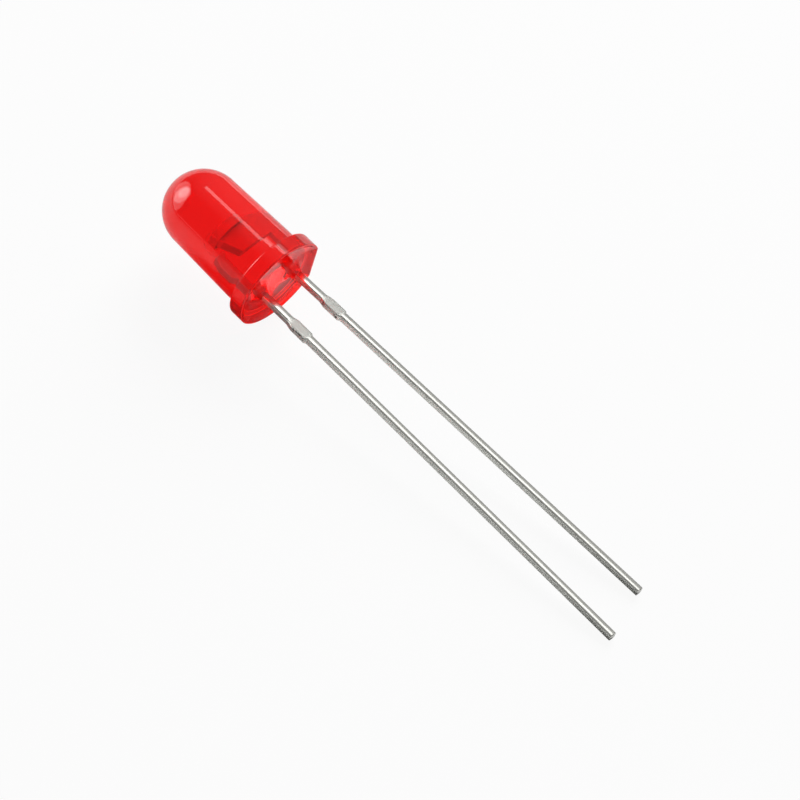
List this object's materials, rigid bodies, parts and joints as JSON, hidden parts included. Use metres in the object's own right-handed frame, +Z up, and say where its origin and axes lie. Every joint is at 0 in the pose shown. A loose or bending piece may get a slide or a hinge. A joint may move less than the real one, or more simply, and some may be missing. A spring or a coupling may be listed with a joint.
{
  "type": "through hole led",
  "caption": "Round red through hole LED: a domed, flanged resin case with a flat beside the cathode, on long straight square leads, lying on its side.",
  "frame": {"origin": "middle of the bounding box, on the surface the LED lies on", "axes": "+X along the leads, from the dome to the tips, seen from above; +Y from the anode lead to the cathode lead; +Z up"},
  "size_m": [0.0364, 0.0056, 0.006],
  "materials": {
    "red_epoxy": "cast clear epoxy, tinted red, glossy",
    "tinned_lead": "stamped steel, tinned bright",
    "chip": "sawn semiconductor with a polished top",
    "silver_paste": "silver filled epoxy, dull",
    "gold_wire": "drawn gold, bright"
  },
  "bodies": {
    "root": {"case": "red_epoxy", "cathode_lead": "tinned_lead", "anode_lead": "tinned_lead", "die": "chip", "die_attach": "silver_paste", "bond_wire": "gold_wire"}
  },
  "joints": []
}
